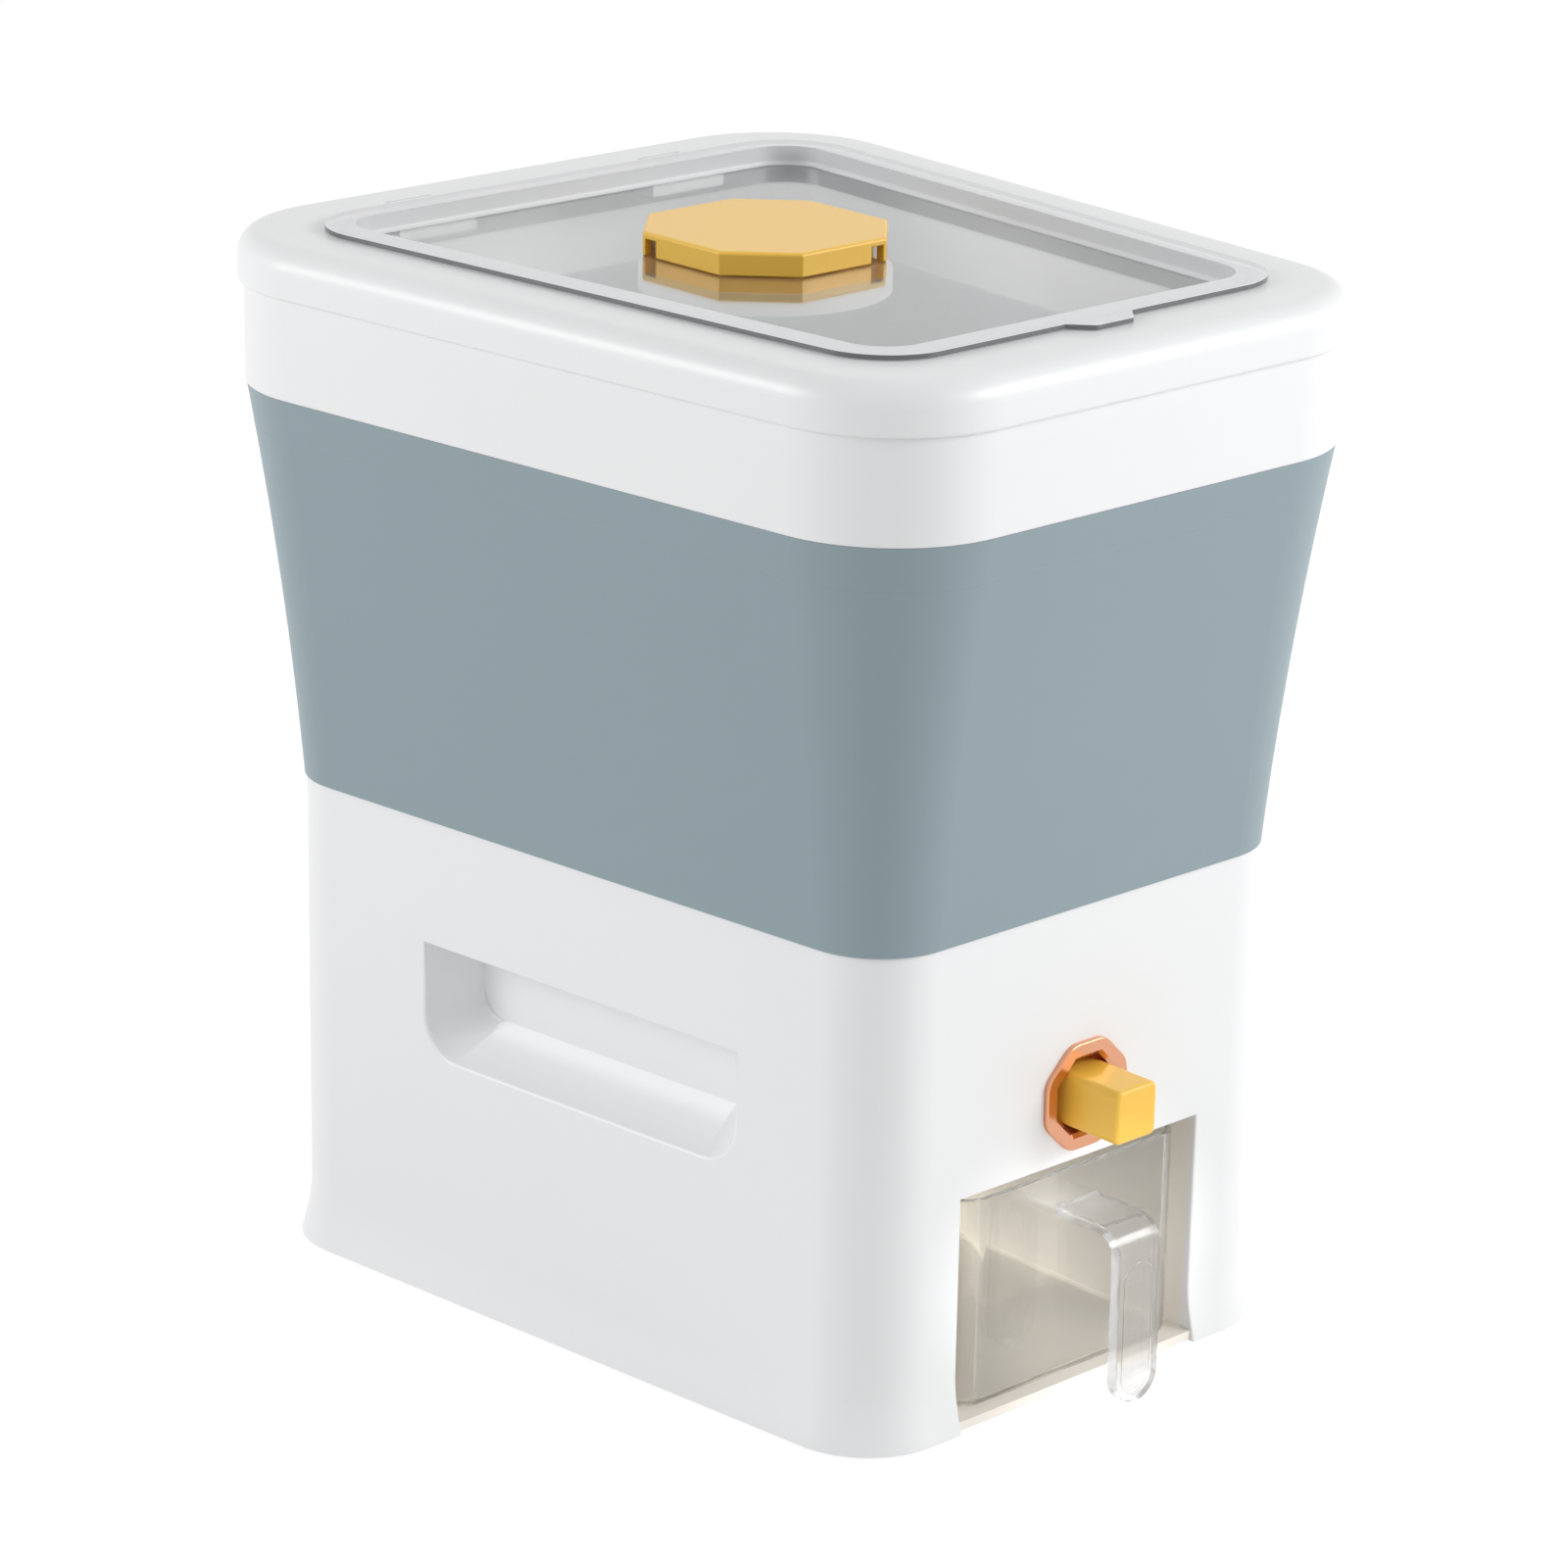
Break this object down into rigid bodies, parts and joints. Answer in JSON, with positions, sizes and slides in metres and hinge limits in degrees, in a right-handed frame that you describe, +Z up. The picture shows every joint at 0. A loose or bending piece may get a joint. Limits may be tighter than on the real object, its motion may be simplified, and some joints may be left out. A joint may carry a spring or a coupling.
{
  "type": "rice storage container with dispenser",
  "caption": "Tall flared rice bin on a white base: clear hinged lid with an octagonal twist cap, push button that opens a slotted gate, and a clear measuring cup that pulls out of a bay.",
  "frame": {"origin": "centre of the overall footprint, on the plane of the feet", "axes": "+Z up, -Y is the front with the button and the cup, +X is the right-hand side seen from the front"},
  "size_m": [0.267, 0.3162, 0.3537],
  "materials": {
    "white_plastic": "satin moulded",
    "blue_plastic": "fine satin texture",
    "clear_plastic": "clear polished",
    "frosted_plastic": "frosted",
    "yellow_plastic": "glossy",
    "copper_plastic": "copper-toned plating",
    "pale_silicone": "matte silicone",
    "grey_rubber": "matte",
    "steel": "zinc plated"
  },
  "bodies": {
    "body": {"base_shell": "white_plastic", "bay_liner": "white_plastic", "bottom_plate": "white_plastic", "rubber_feet": "grey_rubber", "bottom_screws": "steel", "hopper": "blue_plastic", "funnel": "blue_plastic", "collar": "white_plastic", "top_frame": "white_plastic", "frame_gasket": "pale_silicone", "lid_gasket": "pale_silicone", "hinge_pins": "steel", "button_bezel": "copper_plastic", "bezel_retainer": "white_plastic", "gate_housing": "white_plastic", "gate_seal": "pale_silicone", "gate_screws": "steel", "chute": "white_plastic", "return_spring": "steel"},
    "lid": {"clear_lid": "clear_plastic", "hinge_leaves": "white_plastic", "cap_seal": "pale_silicone", "sachet_box": "yellow_plastic", "sachet_cage": "frosted_plastic"},
    "knob": {"knob_cap": "yellow_plastic"},
    "button": {"push_button": "yellow_plastic", "gate_slider": "white_plastic"},
    "cup": {"measuring_cup": "clear_plastic", "cup_handle": "clear_plastic"}
  },
  "joints": [
    {"name": "lid_hinge", "type": "hinge", "parent": "body", "child": "lid", "pos_m": [0, 0.13325, 0.3466], "axis": [-1, 0, 0], "range_deg": [0, 95]},
    {"name": "knob_twist", "type": "hinge", "parent": "lid", "child": "knob", "pos_m": [0, 0.02355, 0.3466], "axis": [0, 0, 1], "range_deg": [0, 45]},
    {"name": "button_press", "type": "slide", "parent": "body", "child": "button", "axis": [0, 1, 0], "range_m": [0, 0.011], "stiffness_N_per_m": 500, "springref_m": -0.004, "deforming": ["return_spring"]},
    {"name": "cup_pull", "type": "slide", "parent": "body", "child": "cup", "axis": [0, -1, 0], "range_m": [0, 0.15]}
  ]
}
